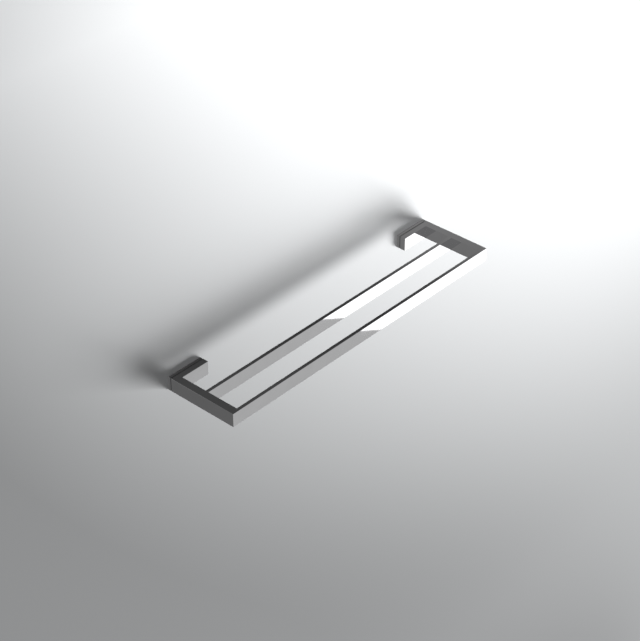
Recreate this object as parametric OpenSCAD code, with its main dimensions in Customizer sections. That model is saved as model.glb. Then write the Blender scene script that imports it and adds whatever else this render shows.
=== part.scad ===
// Double towel rail for a wall: two flat bars between two L-shaped end brackets.
// Each bracket slides over a block on its own wall plate, and a set screw below holds it there.
// X runs along the wall, +Y goes into the wall and Z is up. The wall is the plane y = 0.
// The origin is on the wall, midway between the brackets and at mid-height.

/* [Rack] */
// Overall width, over the outer faces of the brackets
rack_w = 600; // [400:10:900]
// How far the rack stands out from the wall
projection = 136; // [125:1:180]
// Height of the bars, brackets and wall plates
section_h = 24; // [24:1:36]
// Bevel along the outer edges
edge = 0.2; // [0.1:0.1:0.6]

/* [Bars] */
// Thickness of a bar from front to back
bar_t = 6; // [5:0.5:7]
// From the front of the front bar to the front of the middle bar
middle_setback = 64; // [45:1:75]
// Diameter of the locating pins that the bars are brazed on
pin_d = 3; // [2:0.5:3]

/* [Brackets] */
// Width of an arm along the wall
arm_w = 14; // [12:0.5:16]
// Length of the leg that turns back along the wall, arm included
leg_len = 68; // [68:1:90]
// Depth of the leg from front to back
leg_t = 10.5; // [10.5:0.5:14]
// Thickness of the leg's walls round its pocket
shell_t = 2.5; // [2.5:0.25:3]

/* [Wall plates] */
// Thickness of a wall plate
plate_t = 5.5; // [5:0.5:8]
// Shadow gap between a wall plate and its bracket
shadow_gap = 1.2; // [0.6:0.2:1.6]
// Distance from the rack's outer face to the middle of the fixing
fixing_inset = 40; // [40:0.5:41]
// Distance between the two wall screws of a plate
wall_screw_pitch = 32; // [31:0.5:32]
// Diameter of a wall screw's hole
wall_hole_d = 5; // [4:0.5:5]

/* [Fixing] */
// Width and height of the mounting block
block_size = 14; // [12:1:15]
// Diameter of the set screw
set_screw_d = 5; // [4:0.5:5]

/* [Hidden] */

half_w = rack_w / 2;
half_h = section_h / 2;
bar_back = bar_t - projection;
middle_front = middle_setback - projection;
middle_y = middle_front + bar_t / 2;
arm_inner = half_w - arm_w;
arm_x = half_w - arm_w / 2;
leg_inner = half_w - leg_len;
plate_front = -plate_t;
leg_back = plate_front - shadow_gap;
leg_front = leg_back - leg_t;
fixing_x = half_w - fixing_inset;

// Pocket in the back of the leg
pocket_x = [leg_inner + shell_t, arm_inner - shell_t];
pocket_y = leg_front + shell_t;
pocket_half_h = half_h - shell_t;

// Raised land on the plate, which the rim of the leg rests on
land_inset = 0.8;
plate_edge = 0.2;

// Locating pins of the bars
pin_r = pin_d / 2;
pin_gap = 0.02;
pin_end_gap = 0.1;
pin_rise = section_h / 4;
front_pin_y = [bar_back - 3, bar_back + 6];
middle_pin_x = [arm_inner - 6, arm_inner + 6];

// Countersunk holes for the wall screws
countersink_r = wall_hole_d;

// Block between the two wall screws, clear of the pocket's floor
block_y = [pocket_y + 0.6, leg_back];
block_half = block_size / 2;
block_edge = 0.4;

// Countersunk screws that hold the block on its plate
block_screw_r = 1.5;
block_head_r = 2.8;
block_screw_pitch = 8;
block_screw_gap = 0.05;
block_screw_depth = 5.5;
block_socket_r = 1.15;
block_socket_depth = 1;

// Set screw with a cone point, which seats in a dimple under the block
set_r = set_screw_d / 2;
set_gap = 0.05;
set_recess = 0.4;
thread_depth = 0.35;
thread_pitch = 0.8;
cone_h = 1.1;
cone_tip_r = 0.9;
dimple_depth = 0.7;
dimple_r = 1.8;
set_bottom = set_recess - half_h;
set_top = dimple_depth - block_half - set_gap;
set_shank_top = set_top - cone_h;
set_socket_r = 1.44;
set_socket_depth = 2;

$fn = 64;

// Extrude an (x, y) outline from z = a to z = b
module along_z(a, b) {
    translate([0, 0, a]) linear_extrude(b - a) children();
}

// Extrude an (x, z) outline from y = a to y = b
module along_y(a, b) {
    translate([0, b, 0]) rotate([90, 0, 0]) linear_extrude(b - a) children();
}

// Extrude a (y, z) outline from x = a to x = b
module along_x(a, b) {
    translate([a, 0, 0]) rotate([90, 0, 90]) linear_extrude(b - a) children();
}

// Rectangle between two corners, with its corners cut at 45 degrees
module cut_rectangle(low, high, cut) {
    polygon([
        [low.x + cut, low.y], [high.x - cut, low.y],
        [high.x, low.y + cut], [high.x, high.y - cut],
        [high.x - cut, high.y], [low.x + cut, high.y],
        [low.x, high.y - cut], [low.x, low.y + cut]
    ]);
}

// Box between two corners
module plain_box(low, high) {
    translate(low) cube(high - low);
}

// Box between two corners, with all its edges bevelled
module bevelled_box(low, high, cut) {
    intersection() {
        along_z(low.z, high.z) cut_rectangle([low.x, low.y], [high.x, high.y], cut);
        along_y(low.y, high.y) cut_rectangle([low.x, low.z], [high.x, high.z], cut);
        along_x(low.x, high.x) cut_rectangle([low.y, low.z], [high.y, high.z], cut);
    }
}

// The same box with square edges round its back, where it meets another piece
module square_backed_box(low, high, cut) {
    intersection() {
        bevelled_box(low, high + [0, cut, 0], cut);
        plain_box(low, high);
    }
}

// Two pins, or the two holes for them, one above the other along Y
module front_pin_pair(r, end_gap) {
    for (z = [-pin_rise, pin_rise])
        translate([arm_x, 0, z])
            along_y(front_pin_y[0] + end_gap, front_pin_y[1] - end_gap) circle(r);
}

// Two pins, or the two holes for them, one above the other along X
module middle_pin_pair(r, end_gap) {
    for (z = [-pin_rise, pin_rise])
        translate([0, middle_y, z])
            along_x(middle_pin_x[0] + end_gap, middle_pin_x[1] - end_gap) circle(r);
}

// What is made for the right side, and its mirror image
module both_sides() {
    children();
    mirror([1, 0, 0]) children();
}

// Front bar, from one outer face of the rack to the other, over the ends of the arms
module front_bar() {
    color([0.82, 0.83, 0.85])
    difference() {
        square_backed_box([-half_w, -projection, -half_h], [half_w, bar_back, half_h], edge);
        for (side = [-1, 1])
            along_x(-arm_inner, arm_inner)
                translate([bar_back, side * half_h]) circle(edge, $fn = 4);
        both_sides() front_pin_pair(pin_r + pin_gap, 0);
    }
}

// Middle bar, between the inner faces of the arms
module middle_bar() {
    color([0.82, 0.83, 0.85])
    difference() {
        along_x(-arm_inner, arm_inner)
            cut_rectangle([middle_front, -half_h], [middle_front + bar_t, half_h], edge);
        both_sides() middle_pin_pair(pin_r + pin_gap, 0);
    }
}

// Arm and leg in one piece, with a pocket in the leg and a threaded hole under it
module bracket() {
    color([0.78, 0.8, 0.82])
    difference() {
        union() {
            along_y(bar_back, leg_back - leg_t / 2)
                cut_rectangle([arm_inner, -half_h], [half_w, half_h], edge);
            bevelled_box([leg_inner, leg_front, -half_h], [half_w, leg_back, half_h], edge);
        }
        plain_box([pocket_x[0], pocket_y, -pocket_half_h], [pocket_x[1], 0, pocket_half_h]);
        translate([fixing_x, (leg_back + block_y[0]) / 2, -section_h])
            cylinder(h = section_h, r = set_r);
        front_pin_pair(pin_r + pin_gap, 0);
        middle_pin_pair(pin_r + pin_gap, 0);
    }
}

// Wall plate with its raised land and its countersunk holes
module wall_plate() {
    color([0.72, 0.74, 0.77])
    difference() {
        union() {
            square_backed_box([leg_inner, plate_front, -half_h], [half_w, 0, half_h], plate_edge);
            plain_box(
                [leg_inner + land_inset, leg_back, land_inset - half_h],
                [half_w - land_inset, plate_front / 2, half_h - land_inset]
            );
        }
        for (side = [-1, 1])
            translate([fixing_x + side * wall_screw_pitch / 2, 0, 0]) wall_screw_hole();
        for (side = [-1, 1])
            translate([fixing_x + side * block_screw_pitch / 2, 0, 0])
                block_screw_shape(block_screw_gap);
    }
}

// Hole for one wall screw, with its countersink in the land
module wall_screw_hole() {
    rotate([90, 0, 0]) {
        translate([0, 0, -1]) cylinder(h = plate_t + shadow_gap + 2, r = wall_hole_d / 2);
        translate([0, 0, plate_t + shadow_gap - countersink_r / 2])
            cylinder(h = countersink_r / 2, r1 = wall_hole_d / 2, r2 = countersink_r);
    }
}

// Countersunk screw from the wall side, grown by a gap when it is a hole
module block_screw_shape(gap) {
    shank_end = plate_t + shadow_gap + block_screw_depth;
    cone_depth = block_head_r - block_screw_r;
    rotate([90, 0, 0])
        rotate_extrude()
            polygon([
                [0, -gap], [block_head_r + gap, -gap],
                [block_head_r + gap, 0.3 + gap],
                [block_screw_r + gap, cone_depth + 0.3 + gap],
                [block_screw_r + gap, shank_end + gap], [0, shank_end + gap]
            ]);
}

// Block that the leg slides over, with a dimple for the set screw
module mounting_block() {
    block_mid_y = (block_y[0] + block_y[1]) / 2;
    color([0.62, 0.63, 0.65])
    difference() {
        square_backed_box(
            [fixing_x - block_half, block_y[0], -block_half],
            [fixing_x + block_half, block_y[1], block_half], block_edge
        );
        for (side = [-1, 1])
            translate([fixing_x + side * block_screw_pitch / 2, 0, 0])
                block_screw_shape(block_screw_gap);
        translate([fixing_x, block_mid_y, -block_half])
            cylinder(h = dimple_depth, r1 = dimple_r, r2 = cone_tip_r);
    }
}

// The two screws that hold a block on its plate
module block_screws() {
    color([0.55, 0.55, 0.57])
    for (side = [-1, 1])
        translate([fixing_x + side * block_screw_pitch / 2, 0, 0])
            difference() {
                block_screw_shape(0);
                translate([0, 1, 0]) rotate([90, 0, 0])
                    cylinder(h = block_socket_depth + 1, r = block_socket_r, $fn = 6);
            }
}

// Set screw: ridges as thread, a cone point above and a hexagon socket below
module set_screw() {
    root_r = set_r - set_gap - thread_depth;
    crest_r = set_r - set_gap;
    turns = floor((set_shank_top - set_bottom) / thread_pitch);
    color([0.5, 0.5, 0.52])
    translate([fixing_x, (leg_back + block_y[0]) / 2, 0])
    difference() {
        rotate_extrude()
            polygon(concat(
                [[0, set_bottom]],
                [for (i = [0 : turns - 1], half = [0, 1])
                    [half == 0 ? root_r : crest_r, set_bottom + (i + half / 2) * thread_pitch]],
                [
                    [root_r, set_bottom + turns * thread_pitch],
                    [root_r, set_shank_top], [cone_tip_r / 2, set_top], [0, set_top]
                ]
            ));
        translate([0, 0, set_bottom - 1])
            cylinder(h = set_socket_depth + 1, r = set_socket_r, $fn = 6);
    }
}

// Steel pins in the joint between the front bar and an arm
module front_pins() {
    color([0.6, 0.6, 0.62]) front_pin_pair(pin_r, pin_end_gap);
}

// Steel pins in the joint between the middle bar and an arm
module middle_pins() {
    color([0.6, 0.6, 0.62]) middle_pin_pair(pin_r, pin_end_gap);
}

// The left side is the mirror image of the right side
module left() {
    mirror([1, 0, 0]) children();
}

front_bar();
middle_bar();
left() bracket();  // bracket_left
bracket();  // bracket_right
left() front_pins();  // front_pins_left
front_pins();  // front_pins_right
left() middle_pins();  // middle_pins_left
middle_pins();  // middle_pins_right
left() wall_plate();  // wall_plate_left
wall_plate();  // wall_plate_right
left() mounting_block();  // mounting_block_left
mounting_block();  // mounting_block_right
left() block_screws();  // block_screws_left
block_screws();  // block_screws_right
left() set_screw();  // set_screw_left
set_screw();  // set_screw_right
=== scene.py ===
import math

import bmesh
import bpy
from mathutils import Matrix, Quaternion, Vector


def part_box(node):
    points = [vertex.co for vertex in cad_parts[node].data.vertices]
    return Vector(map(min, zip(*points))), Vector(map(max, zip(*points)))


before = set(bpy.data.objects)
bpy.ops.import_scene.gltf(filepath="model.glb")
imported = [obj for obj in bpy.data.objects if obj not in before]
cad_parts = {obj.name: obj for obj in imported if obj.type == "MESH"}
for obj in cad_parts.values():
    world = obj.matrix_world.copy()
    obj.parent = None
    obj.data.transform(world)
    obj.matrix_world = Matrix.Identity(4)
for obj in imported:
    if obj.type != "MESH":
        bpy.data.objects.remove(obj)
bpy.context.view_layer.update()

MM = 0.001

# ---------------------------------------------------------------- camera
IMAGE_SIDE = 641                      # pixels on the longer side of the picture
FOCAL_PIXELS = 1829.8                 # focal length in those pixels
SENSOR = 36.0
CLIP_START, CLIP_END = 0.01, 200.0
CAMERA_PLACE = Vector((-1.7737, -1.6356, 1.6494))
LOOK_RIGHT = math.radians(47.95)      # turned from +Y towards +X
LOOK_DOWN = math.radians(35.026)


def make_camera():
    data = bpy.data.cameras.new("camera")
    data.sensor_width = SENSOR
    data.lens = FOCAL_PIXELS * SENSOR / IMAGE_SIDE
    data.clip_start = CLIP_START
    data.clip_end = CLIP_END
    camera = bpy.data.objects.new("camera", data)
    camera.location = CAMERA_PLACE
    camera.rotation_euler = (math.pi / 2 - LOOK_DOWN, 0, -LOOK_RIGHT)
    bpy.context.scene.collection.objects.link(camera)
    bpy.context.scene.camera = camera


make_camera()
bpy.context.scene.view_settings.view_transform = "Standard"


# ---------------------------------------------------------------- node helpers
class Tree:
    """A node tree that is written as a chain of short calls."""

    def __init__(self, node_tree):
        self.tree = node_tree
        self.tree.nodes.clear()

    def node(self, kind, inputs=None, **settings):
        made = self.tree.nodes.new(kind)
        for name, value in settings.items():
            setattr(made, name, value)
        for name, value in (inputs or {}).items():
            self.put(made.inputs[name], value)
        return made

    def put(self, socket, value):
        """A link where the value is an output, or else a fixed number on the socket."""
        if isinstance(value, bpy.types.NodeSocket):
            self.tree.links.new(value, socket)
        else:
            socket.default_value = value

    def math(self, operation, a, b=0.0, c=0.0):
        made = self.node("ShaderNodeMath", operation=operation)
        for socket, value in zip(made.inputs, (a, b, c)):
            self.put(socket, value)
        return made.outputs[0]

    def clamp(self, value, low, high):
        return self.node("ShaderNodeClamp", {"Value": value, "Min": low, "Max": high}).outputs[0]

    def step(self, value, low, high, to_low=0.0, to_high=1.0):
        """A smooth change from to_low to to_high while value goes from low to high."""
        made = self.node("ShaderNodeMapRange", interpolation_type="SMOOTHSTEP")
        numbers = (value, low, high, to_low, to_high)
        for name, number in zip(("Value", "From Min", "From Max", "To Min", "To Max"), numbers):
            self.put(made.inputs[name], number)
        return made.outputs[0]

    def ramp(self, value, stops):
        """A grey level for each position, straight between them."""
        made = self.node("ShaderNodeValToRGB", {"Fac": value})
        elements = made.color_ramp.elements
        while len(elements) > 1:
            elements.remove(elements[-1])
        for i, (position, level) in enumerate(stops):
            element = elements[0] if i == 0 else elements.new(position)
            element.position = position
            element.color = (level, level, level, 1)
        return made.outputs["Color"]

    def blend(self, amount, a, b):
        """Value a where amount is 0 and value b where it is 1."""
        return self.node("ShaderNodeMix", {"Factor": amount, "A": a, "B": b}).outputs["Result"]

    def noise(self, place, scale, detail=3.0, roughness=0.5):
        made = self.node(
            "ShaderNodeTexNoise",
            {"Vector": place, "Scale": scale, "Detail": detail, "Roughness": roughness},
        )
        return made.outputs["Fac"]

    def stretched(self, place, x, y, z):
        """The place scaled along each axis, for streaks."""
        made = self.node("ShaderNodeMapping", {"Vector": place, "Scale": (x, y, z)})
        return made.outputs["Vector"]


def material(name):
    made = bpy.data.materials.new(name)
    made.use_nodes = True
    return made, Tree(made.node_tree)


def tinted(t, tone, red, blue):
    """A grey tone with more or less red and blue in it."""
    colour = {"Red": t.math("MULTIPLY", tone, red), "Green": tone, "Blue": t.math("MULTIPLY", tone, blue)}
    return t.node("ShaderNodeCombineColor", colour).outputs[0]


# ---------------------------------------------------------------- studio
WALL_GAP = 0.5 * MM
WALL_REACH = 14.0
# The backdrop's tone is painted light: brighter towards the upper right, with painted shade at its foot.
WALL_ACROSS = (-0.8, 1.3)             # the tone changes between these values of x
WALL_UP = (-1.8, 0.6)                 # and these of z
WALL_SLANT = (-0.62, -0.62)           # but not below the line z = slope x + start
WALL_SOFTNESS = 0.3
WALL_FOOT_TOP, WALL_FOOT_SHADE = -1.05, 0.10
WALL_TONES = (0.24, 0.97)             # darkest and lightest
WALL_RED, WALL_BLUE = 0.985, 1.012
FLOOR_HEIGHT = -2.6
FLOOR_REACH = 60.0
FLOOR_LIGHT = 0.76

# The key light stands far away, below and to the right of the rack.
KEY_WAY = Vector((0.82, -1.0, -0.73)).normalized()
KEY_SLOPE = Vector((0.83, 0.0, -0.55))
KEY_DISTANCE = 12.0
KEY_LENGTH, KEY_WIDTH = 8.6, 4.4
KEY_POWER = 2190
FILL_LIGHT = 0.28
BACKGROUND_LIGHT = 0.86

# A white card above it is what the chrome mirrors: its lower edge crosses both bars.
CARD_EDGE = Vector((2.706, -2.447, -2.526))
CARD_ALONG = Vector((0.687, 0.724, 0.064)).normalized()
CARD_UP = Vector((0.383, -0.435, 0.815)).normalized()
CARD_RAISED = 0.005
CARD_LEFT, CARD_RIGHT = -1.60, 1.28
CARD_HEIGHT = 1.40
CARD_LIGHT = 1.6

# More white cards, which the chrome mirrors when it is seen from other sides.
# Way to the card, half width and half height in degrees, and roll in degrees.
MORE_CARDS_DISTANCE = 4.0
MORE_CARDS_LIGHT = 1.25
MORE_CARDS = {
    "card_front": ((-0.14, -1.00, -0.10), 9, 20, 20),
    "card_left": ((-0.80, -0.60, -0.21), 8, 13, 12),
    "card_right": ((0.98, 0.215, -0.10), 11, 18, 25),
    "card_back": ((0.59, 0.81, -0.21), 9, 15, 15),
    "card_upper_front": ((-0.17, -0.50, 0.87), 10, 10, 30),
    "card_lower_back": ((-0.20, 0.50, -0.87), 10, 10, 30),
    "card_overhead": ((-0.17, 0.17, 0.97), 9, 12, 30),
}

# What the chrome mirrors round the cards: a level for each height, from 0 straight down to 1
# straight up, and two soft glows (way, inner and outer angle in degrees, level).
SKY_LEVELS = [
    (0.0, 0.25), (0.2, 0.125), (0.30, 0.3), (0.45, 0.75), (0.55, 0.9), (0.67, 0.6),
    (0.76, 0.24), (0.77, 0.18), (0.776, 0.078), (0.783, 0.042), (0.79, 0.04), (0.80, 0.062),
    (0.9, 0.05), (1.0, 0.4),
]
GLOW_BELOW = (Vector((0.58, -0.55, -0.60)), 12, 35, 0.335)
GLOW_ABOVE = (Vector((-0.56, 0.50, 0.66)), 8, 25, 0.12)


def plane(name, centre, along, up, half_width, half_height):
    """A flat rectangle, made in bmesh."""
    shape = bmesh.new()
    corners = [(-1, -1), (1, -1), (1, 1), (-1, 1)]
    shape.faces.new([
        shape.verts.new(centre + along * half_width * i + up * half_height * j)
        for i, j in corners
    ])
    data = bpy.data.meshes.new(name)
    shape.to_mesh(data)
    shape.free()
    made = bpy.data.objects.new(name, data)
    bpy.context.scene.collection.objects.link(made)
    return made


def seen_only_by(thing, camera=False, diffuse=False, glossy=False, shadow=False):
    thing.visible_camera = camera
    thing.visible_diffuse = diffuse
    thing.visible_glossy = glossy
    thing.visible_shadow = shadow
    thing.visible_transmission = False


def wall_material():
    """A pale backdrop with painted light: its colour lightens towards its upper right and is painted
    darker at its foot, as the light on it falls; seen from the front only.
    """
    made, t = material("studio_wall")
    place = t.node("ShaderNodeTexCoord").outputs["Object"]
    x, _, z = t.node("ShaderNodeSeparateXYZ", {"Vector": place}).outputs
    x = t.clamp(x, *WALL_ACROSS)
    height = t.clamp(z, *WALL_UP)
    z = t.math("SMOOTH_MAX", height, t.math("MULTIPLY_ADD", x, *WALL_SLANT), WALL_SOFTNESS)
    # painted light on the backdrop: tone = 0.60 + 0.67 x + z (0.85 + 0.69 x + 0.42 z) - x x (0.20 x +
    # 0.40 z)
    slope = t.math("MULTIPLY_ADD", z, 0.42, t.math("MULTIPLY_ADD", x, 0.69, 0.85))
    tone = t.math("MULTIPLY_ADD", z, slope, t.math("MULTIPLY_ADD", x, 0.67, 0.60))
    bend = t.math("MULTIPLY_ADD", z, 0.40, t.math("MULTIPLY", x, 0.20))
    tone = t.math("SUBTRACT", tone, t.math("MULTIPLY", t.math("MULTIPLY", x, x), bend))
    # Painted shade: the wall's colour gets darker towards its foot.
    painted_foot_shade = t.step(height, WALL_UP[0], WALL_FOOT_TOP, WALL_FOOT_SHADE, 0.0)
    tone = t.clamp(t.math("SUBTRACT", tone, painted_foot_shade), *WALL_TONES)
    front = t.node("ShaderNodeBsdfDiffuse", {"Color": tinted(t, tone, WALL_RED, WALL_BLUE)})
    back = t.node("ShaderNodeBsdfTransparent")
    side = t.node("ShaderNodeNewGeometry").outputs["Backfacing"]
    both = t.node("ShaderNodeMixShader", {"Fac": side})
    t.put(both.inputs[1], front.outputs[0])
    t.put(both.inputs[2], back.outputs[0])
    t.node("ShaderNodeOutputMaterial", {"Surface": both.outputs[0]})
    return made


def glow_material(name, level):
    made, t = material(name)
    glow = t.node("ShaderNodeEmission", {"Color": (1, 1, 1, 1), "Strength": level})
    t.node("ShaderNodeOutputMaterial", {"Surface": glow.outputs[0]})
    return made


def make_stage():
    across, upward, outward = Vector((1, 0, 0)), Vector((0, 0, 1)), Vector((0, 1, 0))
    wall = plane("studio_wall", outward * WALL_GAP, across, upward, WALL_REACH, WALL_REACH)
    wall.data.materials.append(wall_material())
    seen_only_by(wall, camera=True)
    floor = plane("studio_floor", upward * FLOOR_HEIGHT, across, outward, FLOOR_REACH, FLOOR_REACH)
    floor.data.materials.append(glow_material("studio_floor", FLOOR_LIGHT))
    seen_only_by(floor, camera=True)
    middle = (CARD_LEFT + CARD_RIGHT) / 2
    centre = CARD_EDGE + CARD_ALONG * middle + CARD_UP * (CARD_RAISED + CARD_HEIGHT / 2)
    card = plane("white_card", centre, CARD_ALONG, CARD_UP, (CARD_RIGHT - CARD_LEFT) / 2, CARD_HEIGHT / 2)
    card.data.materials.append(glow_material("card_glow", CARD_LIGHT))
    seen_only_by(card, glossy=True)
    make_more_cards()


def make_more_cards():
    glow = glow_material("more_cards_glow", MORE_CARDS_LIGHT)
    for name, (way, half_width, half_height, roll) in MORE_CARDS.items():
        way = Vector(way).normalized()
        along = way.cross(Vector((0, 0, 1))).normalized()
        along.rotate(Quaternion(way, math.radians(roll)))
        half_sizes = (MORE_CARDS_DISTANCE * math.tan(math.radians(i)) for i in (half_width, half_height))
        card = plane(name, way * MORE_CARDS_DISTANCE, along, along.cross(way), *half_sizes)
        card.data.materials.append(glow)
        seen_only_by(card, glossy=True)


def make_key_light():
    """The light that throws the shadow on the wall. The chrome mirrors the card instead of it."""
    data = bpy.data.lights.new("key_light", "AREA")
    data.shape = "RECTANGLE"
    data.size = KEY_LENGTH
    data.size_y = KEY_WIDTH
    data.energy = KEY_POWER
    key = bpy.data.objects.new("key_light", data)
    along = (KEY_SLOPE - KEY_WAY * KEY_SLOPE.dot(KEY_WAY)).normalized()
    axes = Matrix((along, KEY_WAY.cross(along), KEY_WAY)).transposed()
    key.matrix_world = Matrix.Translation(KEY_WAY * KEY_DISTANCE) @ axes.to_4x4()
    bpy.context.scene.collection.objects.link(key)
    key.visible_camera = False
    key.visible_glossy = False


def glow_around(t, way, centre, inner, outer, level):
    """A soft round glow: the level inside the inner angle, nothing outside the outer one."""
    near = t.node("ShaderNodeVectorMath", {0: way, 1: centre.normalized()}, operation="DOT_PRODUCT")
    far_cosine, near_cosine = (math.cos(math.radians(i)) for i in (outer, inner))
    return t.step(near.outputs["Value"], far_cosine, near_cosine, 0, level)


def make_world():
    """Pale behind everything, soft grey fill, and for the chrome a studio that is dark overhead."""
    world = bpy.data.worlds.new("studio")
    world.use_nodes = True
    bpy.context.scene.world = world
    t = Tree(world.node_tree)
    way = t.node("ShaderNodeTexCoord").outputs["Generated"]
    height = t.node("ShaderNodeSeparateXYZ", {"Vector": way}).outputs["Z"]
    ramp = t.ramp(t.math("MULTIPLY_ADD", height, 0.5, 0.5), SKY_LEVELS)
    glows = t.math("ADD", glow_around(t, way, *GLOW_BELOW), glow_around(t, way, *GLOW_ABOVE))
    mirror_level = t.math("ADD", ramp, glows)
    path = t.node("ShaderNodeLightPath")
    plain = t.step(path.outputs["Is Camera Ray"], 0, 1, FILL_LIGHT, BACKGROUND_LIGHT)
    level = t.blend(path.outputs["Is Glossy Ray"], plain, mirror_level)
    sky = t.node("ShaderNodeBackground", {"Color": (1, 1, 1, 1), "Strength": level})
    t.node("ShaderNodeOutputWorld", {"Surface": sky.outputs[0]})


# ---------------------------------------------------------------- materials
SHADOW_GAP = 1.2 * MM                 # between a wall plate and its bracket, as in the CAD
BARE_RIM = 0.8 * MM                   # unplated rim next to the wall
CHROME_TONE = 0.82
PLATE_TONE = 0.80
CHROME_BLUE = 1.012
TURNED_STEEL = {                      # axis, tone, and how much red and blue
    "front_pins": (1, 0.62, (1.0, 1.01)),
    "middle_pins": (0, 0.62, (1.0, 1.01)),
    "block_screws": (1, 0.50, (0.97, 1.05)),
    "set_screw": (2, 0.56, (1.02, 0.97)),
}


def finish_metal(t, colour, roughness, height, strength, depth):
    """A metal surface, with the relief that height draws on it."""
    bump = t.node("ShaderNodeBump", {"Height": height, "Strength": strength, "Distance": depth})
    surface = t.node("ShaderNodeBsdfPrincipled", {
        "Base Color": colour, "Metallic": 1.0, "Roughness": roughness, "Normal": bump.outputs[0],
    })
    t.node("ShaderNodeOutputMaterial", {"Surface": surface.outputs[0]})


def chrome_looks(t, place, level):
    """Colour, roughness and polishing marks of mirror-polished chrome plate."""
    haze = t.noise(place, 38.0, 4.0)
    marks = t.noise(t.stretched(place, 60.0, 60.0, 900.0), 1.0, 2.0)
    roughness = t.math("ADD", t.step(haze, 0.35, 0.75, 0.012, 0.035), t.step(marks, 0.6, 0.8, 0.0, 0.012))
    return t.step(haze, 0.3, 0.7, level, level * 0.97), roughness, marks


def chrome(name):
    """Mirror-polished chrome plate with the faintest haze and polishing marks."""
    made, t = material(name)
    place = t.node("ShaderNodeTexCoord").outputs["Object"]
    tone, roughness, marks = chrome_looks(t, place, CHROME_TONE)
    finish_metal(t, tinted(t, tone, 1.0, CHROME_BLUE), roughness, marks, 0.02, 0.02 * MM)
    return made


def plate_chrome(name, bare_depth, front):
    """A chrome rim with a bare zinc wall side. The recess in front of the plate is painted near black:
    painted shade that darkens the shadow gap.
    """
    made, t = material(name)
    place = t.node("ShaderNodeTexCoord").outputs["Object"]
    depth = t.node("ShaderNodeSeparateXYZ", {"Vector": place}).outputs["Y"]
    wander = t.step(t.noise(place, 400.0, 3.0), 0.3, 0.7, -0.1 * MM, 0.1 * MM)
    back = t.step(t.math("ADD", depth, wander), -bare_depth - 0.2 * MM, 0.1 * MM - bare_depth)
    # Painted shade: near-black colour on the land in front of the plate, where the shadow gap falls.
    painted_gap_shade = t.step(depth, front - 0.02 * MM, front + 0.06 * MM, 1.0, 0.0)
    bare_and_gap_shade = t.math("MAXIMUM", back, painted_gap_shade)
    tone, roughness, marks = chrome_looks(t, place, PLATE_TONE)
    grain = t.noise(place, 2600.0, 4.0, 0.6)
    # Bare zinc tone on the wall side, and near-black painted shade in the recess.
    bare_and_shade_tone = t.blend(painted_gap_shade, t.step(grain, 0.3, 0.7, 0.42, 0.50), t.step(grain, 0.3, 0.7, 0.05, 0.08))
    tone = t.blend(bare_and_gap_shade, tone, bare_and_shade_tone)
    roughness = t.blend(bare_and_gap_shade, roughness, t.step(grain, 0.3, 0.7, 0.34, 0.48))
    height = t.blend(bare_and_gap_shade, t.math("MULTIPLY", marks, 0.05), grain)
    finish_metal(t, tinted(t, tone, 1.0, CHROME_BLUE), roughness, height, 0.35, 0.03 * MM)
    return made


def cast_zinc(name):
    """Die-cast zinc, tumbled: an even fine grain with a few darker pores."""
    made, t = material(name)
    place = t.node("ShaderNodeTexCoord").outputs["Object"]
    grain = t.noise(place, 3200.0, 5.0, 0.65)
    cloud = t.noise(place, 260.0, 2.0)
    pores = t.step(t.noise(place, 1500.0, 1.0), 0.68, 0.76)
    tone = t.math("MULTIPLY_ADD", pores, -0.16, t.step(cloud, 0.3, 0.7, 0.46, 0.56))
    roughness = t.math("MULTIPLY_ADD", pores, 0.2, t.step(grain, 0.3, 0.7, 0.32, 0.44))
    height = t.math("MULTIPLY_ADD", pores, -0.8, grain)
    finish_metal(t, tinted(t, tone, 0.99, 1.03), roughness, height, 0.4, 0.03 * MM)
    return made


def turned_steel(name, node, axis, level, tint):
    """Steel cut on a lathe: fine rings round the axis, each with a slightly different shine.

    Where a node holds a pair of screws or pins, the rings run round each of them."""
    low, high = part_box(node)
    centre, half = (high + low) / 2, (high - low) / 2
    across = [i for i in range(3) if i != axis]
    reach = min(half[i] for i in across)
    made, t = material(name)
    place = t.node("ShaderNodeTexCoord").outputs["Object"]
    place_xyz = t.node("ShaderNodeSeparateXYZ", {"Vector": place}).outputs
    squares = []
    for i in across:
        side = t.math("ABSOLUTE", t.math("SUBTRACT", place_xyz[i], centre[i]))
        side = t.math("SUBTRACT", side, half[i] - reach)
        squares.append(t.math("MULTIPLY", side, side))
    radius = t.math("SQRT", t.math("ADD", *squares))
    turns = t.node("ShaderNodeCombineXYZ", {"X": radius, "Y": place_xyz[axis]}).outputs[0]
    rings = t.noise(turns, 9000.0, 2.0)
    cloud = t.noise(place, 700.0, 2.0)
    tone = t.math("MULTIPLY_ADD", cloud, 0.06, t.step(rings, 0.3, 0.7, level, level * 0.88))
    roughness = t.math("MULTIPLY_ADD", cloud, 0.08, t.step(rings, 0.3, 0.7, 0.16, 0.28))
    finish_metal(t, tinted(t, tone, *tint), roughness, rings, 0.25, 0.01 * MM)
    return made


def dress(nodes, finish):
    for name in nodes:
        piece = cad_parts[name]
        piece.data.materials.clear()
        piece.data.materials.append(finish)


def both(name):
    return [name + "_left", name + "_right"]


make_stage()
make_key_light()
make_world()
dress(["front_bar", "middle_bar"], chrome("bar_chrome"))
dress(both("bracket"), chrome("bracket_chrome"))
plate_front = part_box("wall_plate_left")[0].y + SHADOW_GAP
dress(both("wall_plate"), plate_chrome("plate_chrome", BARE_RIM, plate_front))
dress(both("mounting_block"), cast_zinc("block_metal"))
for piece, (axis, level, tint) in TURNED_STEEL.items():
    for node in both(piece):
        dress([node], turned_steel(node + "_steel", node, axis, level, tint))
